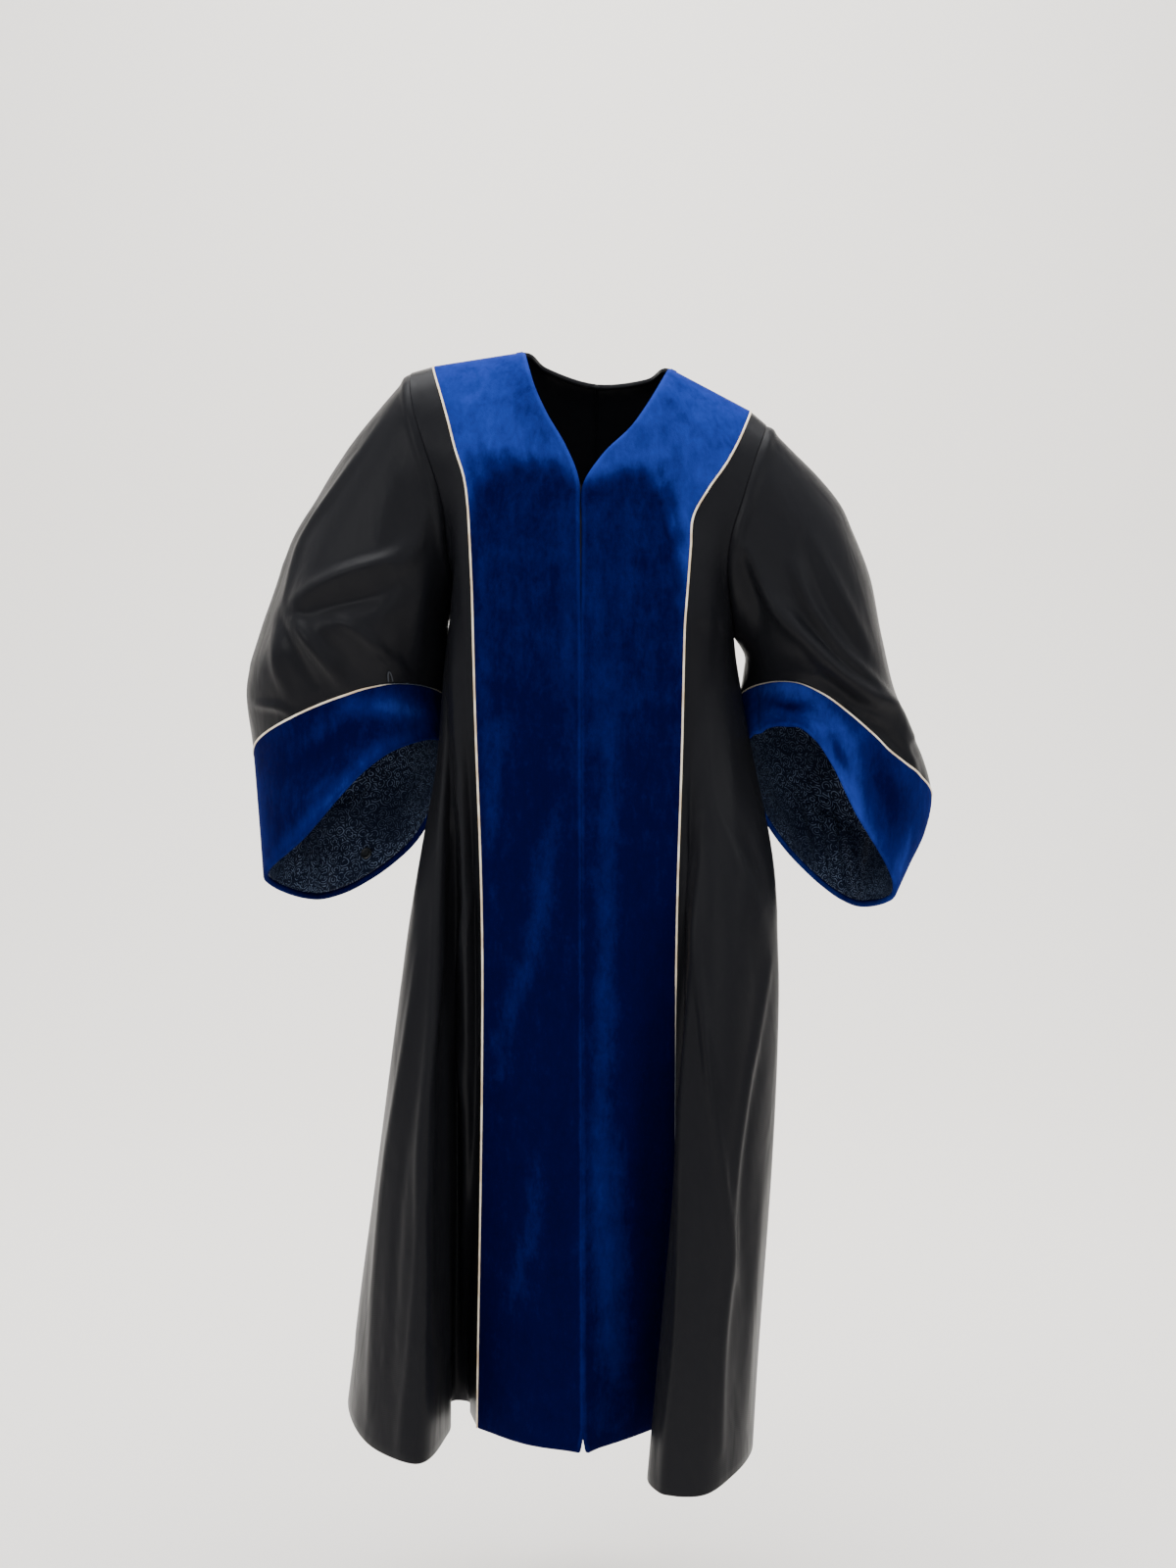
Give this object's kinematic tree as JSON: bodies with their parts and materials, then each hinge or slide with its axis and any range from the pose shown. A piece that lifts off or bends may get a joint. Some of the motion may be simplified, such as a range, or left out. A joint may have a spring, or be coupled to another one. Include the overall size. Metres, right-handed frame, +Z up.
{
  "type": "judicial robe",
  "caption": "Long judicial robe with velvet front bands, wide bell sleeves with velvet cuffs, contrast piping and an open V neck, worn and empty.",
  "frame": {"origin": "between the shoulders in the neck opening, at the height of the shoulder line", "axes": "+Z up, the robe's front towards -Y, the wearer's left towards +X"},
  "size_m": [0.8025, 0.4023, 1.2612],
  "materials": {
    "black_cloth": "satin twill",
    "blue_velvet": "velvet",
    "ivory_piping": "satin cord",
    "navy_lining": "jacquard satin",
    "black_button": "polished"
  },
  "bodies": {
    "root": {"back_right": "black_cloth", "back_left": "black_cloth", "front_right": "black_cloth", "front_left": "black_cloth", "velvet_band_right": "blue_velvet", "velvet_band_left": "blue_velvet", "band_piping_right": "ivory_piping", "band_piping_left": "ivory_piping", "front_placket": "black_cloth", "sleeve_right": "black_cloth", "sleeve_left": "black_cloth", "cuff_right": "blue_velvet", "cuff_left": "blue_velvet", "cuff_piping_right": "ivory_piping", "cuff_piping_left": "ivory_piping", "sleeve_lining_right": "navy_lining", "sleeve_lining_left": "navy_lining", "sleeve_button": "black_button", "button_loop": "black_cloth"}
  },
  "joints": []
}
